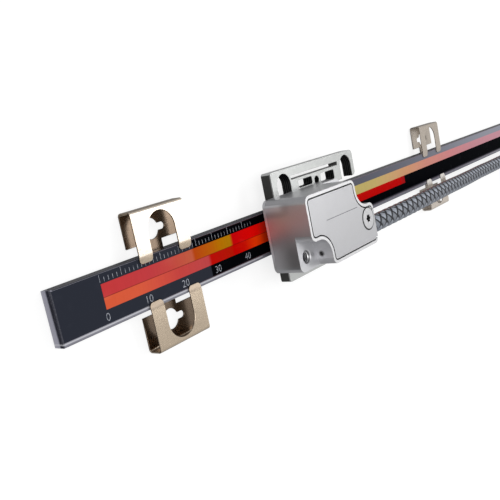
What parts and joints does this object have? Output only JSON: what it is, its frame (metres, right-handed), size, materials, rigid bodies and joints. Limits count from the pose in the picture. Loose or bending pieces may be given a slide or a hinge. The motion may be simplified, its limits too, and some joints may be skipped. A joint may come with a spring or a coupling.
{
  "type": "linear glass scale",
  "caption": "Exposed linear encoder: coated glass scale held by spring clamps, with a scanning head on a slotted bracket that slides along it and a braided cable to a multi-pin plug.",
  "frame": {"origin": "centre of the back face of the glass, on the mounting surface", "axes": "+X along the scale towards the cable, +Y across the scale towards the upper clamps, +Z out of the graduated face towards the head"},
  "size_m": [0.3169, 0.063, 0.0242],
  "materials": {
    "scale_glass": "clear ground glass",
    "dark_coating": "glossy dark vacuum coating",
    "incremental_film": "fine grating that shines orange and red",
    "homing_film": "fine grating that shines red",
    "spring_steel": "satin spring steel with a warm tint",
    "housing_metal": "satin nickel-plated light alloy",
    "cover_metal": "fine satin",
    "gasket": "matt",
    "screw_steel": "bright steel",
    "bracket_metal": "milled light alloy",
    "optic_glass": "polished",
    "black_plastic": "matt black",
    "lamp_epoxy": "clear red epoxy",
    "board_green": "solder mask",
    "ferrule_metal": "turned steel",
    "cable_braid": "woven metal braid over a plastic jacket",
    "tie_plastic": "black nylon",
    "hood_metal": "nickel-plated die casting",
    "flange_plate": "tin-plated steel",
    "insert_plastic": "glass-filled plastic",
    "pin_gold": "gold-plated"
  },
  "bodies": {
    "scale": {"glass_scale": "scale_glass", "coating": "dark_coating", "incremental_track": "incremental_film", "homing_track": "homing_film", "clamp_upper_left": "spring_steel", "clamp_lower_left": "spring_steel", "clamp_upper_right": "spring_steel", "clamp_lower_right": "spring_steel"},
    "head": {"head_housing": "housing_metal", "head_cover": "cover_metal", "cover_seal": "gasket", "cover_screw": "screw_steel", "mounting_bracket": "bracket_metal", "bracket_screw_left": "screw_steel", "bracket_screw_right": "screw_steel", "scanning_reticle": "optic_glass", "optics_holder": "black_plastic", "condenser_lens": "optic_glass", "light_source": "lamp_epoxy", "photodetector": "black_plastic", "circuit_board": "board_green", "board_screw_left": "screw_steel", "board_screw_right": "screw_steel", "cable_ferrule": "ferrule_metal", "cable": "cable_braid", "cable_hank": "cable_braid", "cable_tail": "cable_braid", "cable_tie_front": "tie_plastic", "cable_tie_back": "tie_plastic", "hood_lower": "hood_metal", "hood_upper": "hood_metal", "connector_flange": "flange_plate", "connector_insert": "insert_plastic", "connector_pins": "pin_gold", "jackscrew_front": "screw_steel", "jackscrew_back": "screw_steel"}
  },
  "joints": [
    {"name": "head_travel", "type": "slide", "parent": "scale", "child": "head", "axis": [1, 0, 0], "range_m": [-0.0625, 0.1575]}
  ]
}
